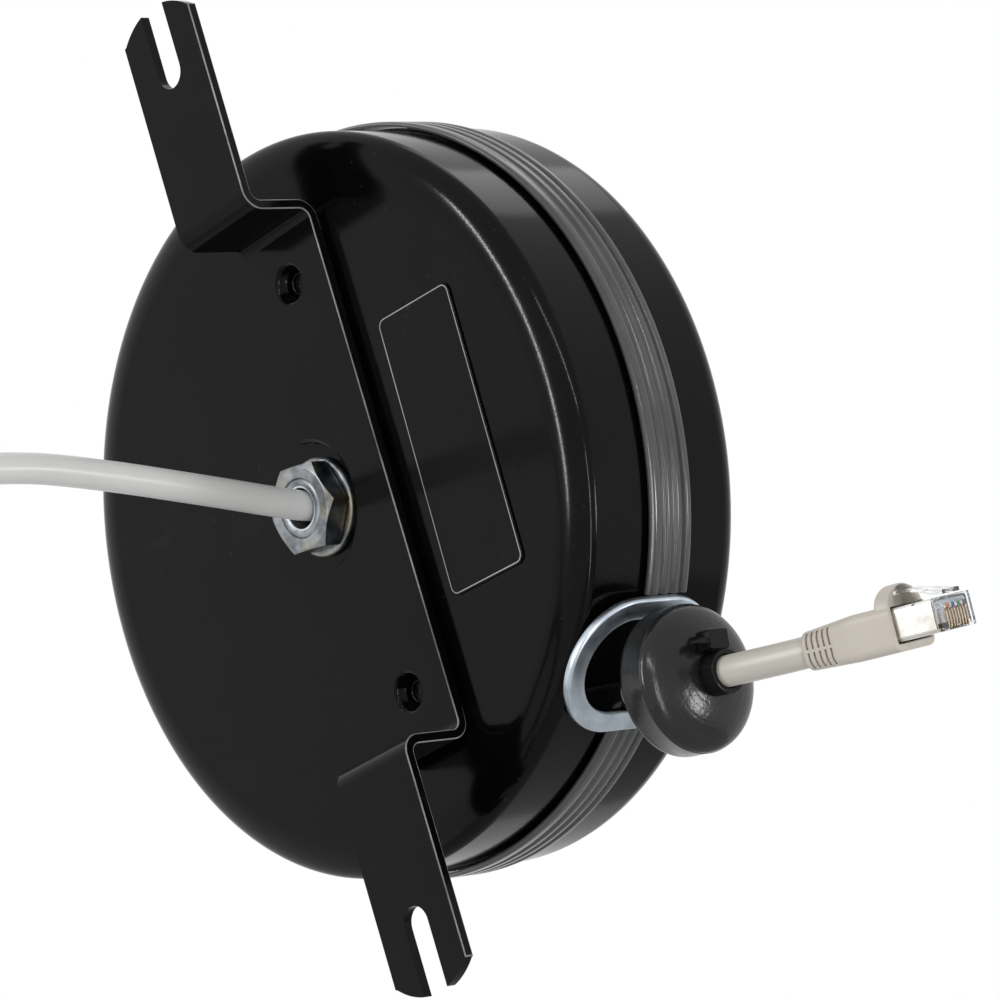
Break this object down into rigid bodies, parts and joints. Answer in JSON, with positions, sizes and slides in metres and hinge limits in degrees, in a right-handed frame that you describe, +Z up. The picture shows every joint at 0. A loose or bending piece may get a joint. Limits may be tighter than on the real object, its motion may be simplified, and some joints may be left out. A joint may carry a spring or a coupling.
{
  "type": "cord_reel",
  "caption": "Retractable data cord reel: round two-part black steel housing with trim band, bent steel bracket, hollow axle lead-in and a tangential cord outlet with rubber stop and plug.",
  "frame": {"origin": "where the axle line crosses the plane the bracket's ears bolt against", "axes": "+Y out of the ears towards the surface they are bolted to, along the axle; +Z up along the bracket; the cord leaves towards -X and down"},
  "size_m": [0.205, 0.1855, 0.2654],
  "materials": {
    "satin_black_paint": "satin",
    "trim_grey": "satin, ribbed",
    "zinc_plate": "satin",
    "plain_steel": "satin",
    "spring_steel": "satin",
    "black_rubber": "matte",
    "tie_nylon": "gloss",
    "cord_jacket": "satin",
    "boot_plastic": "matte",
    "clear_plastic": "gloss",
    "contact_gold": "polished",
    "black_nylon": "matte",
    "disc_plastic": "matte",
    "bronze": "satin",
    "label_black": "gloss"
  },
  "bodies": {
    "housing": {"front_shell": "satin_black_paint", "rear_shell": "satin_black_paint", "trim_band": "trim_grey", "mounting_bracket": "satin_black_paint", "bracket_rivet_upper": "satin_black_paint", "bracket_rivet_lower": "satin_black_paint", "hollow_axle": "zinc_plate", "retaining_clip": "plain_steel", "axle_nut": "zinc_plate", "axle_washer": "zinc_plate", "rear_bolt": "zinc_plate", "outlet_ring": "zinc_plate", "label_plate": "label_black", "brush_block": "black_nylon", "pawl_pin": "plain_steel", "pawl_spring": "spring_steel", "power_spring": "spring_steel", "cord_inner_run": "black_rubber", "input_lead": "cord_jacket", "lead_coil": "cord_jacket", "lead_tail": "cord_jacket", "coil_tie": "tie_nylon", "lead_boot": "boot_plastic", "lead_plug_body": "clear_plastic", "lead_plug_shield": "plain_steel", "lead_plug_contacts": "contact_gold"},
    "drum": {"drum_hub": "black_nylon", "drum_front_flange": "black_nylon", "drum_rear_flange": "black_nylon", "cord_winding_core": "cord_jacket", "cord_outer_layer": "cord_jacket", "spring_cover": "plain_steel", "front_bush": "bronze", "rear_bush": "bronze", "contact_disc": "disc_plastic", "contact_track_1": "contact_gold", "contact_track_2": "contact_gold", "contact_track_3": "contact_gold", "contact_track_4": "contact_gold", "contact_track_5": "contact_gold", "contact_track_6": "contact_gold", "contact_track_7": "contact_gold", "contact_track_8": "contact_gold", "ratchet_wheel": "plain_steel"},
    "cord_end": {"cord_end": "cord_jacket", "rubber_stop": "black_rubber", "cable_tie": "tie_nylon", "cord_boot": "boot_plastic", "cord_plug_body": "clear_plastic", "cord_plug_shield": "plain_steel", "cord_plug_contacts": "contact_gold"},
    "pawl": {"pawl": "plain_steel"},
    "cord_latch": {"cord_plug_latch": "clear_plastic"},
    "lead_latch": {"lead_plug_latch": "clear_plastic"}
  },
  "joints": [
    {"name": "drum_spin", "type": "hinge", "parent": "housing", "child": "drum", "pos_m": [0, -0.0375, 0], "axis": [0, 1, 0], "range_deg": [0, 4750], "stiffness_Nm_per_rad": 0.0025, "springref_deg": -5729.58},
    {"name": "cord_pull", "type": "slide", "parent": "housing", "child": "cord_end", "axis": [-0.9836, 0, -0.1805], "range_m": [0, 3.4]},
    {"name": "pawl_swing", "type": "hinge", "parent": "housing", "child": "pawl", "pos_m": [0, -0.05295, 0.0365], "axis": [0, 1, 0], "range_deg": [0, 20], "stiffness_Nm_per_rad": 0.01, "springref_deg": -11.46},
    {"name": "cord_latch_press", "type": "hinge", "parent": "cord_end", "child": "cord_latch", "pos_m": [-0.12652, -0.04616, -0.06695], "axis": [-0.1789, 0.9756, -0.1276], "range_deg": [0, 8], "stiffness_Nm_per_rad": 0.02},
    {"name": "lead_latch_press", "type": "hinge", "parent": "housing", "child": "lead_latch", "pos_m": [0.0205, 0.1121, -0.1613], "axis": [-1, 0, 0], "range_deg": [0, 8], "stiffness_Nm_per_rad": 0.02}
  ],
  "couplings": [
    {"joint": "cord_pull", "follows": "drum_spin", "m_per_rad": 0.041}
  ]
}
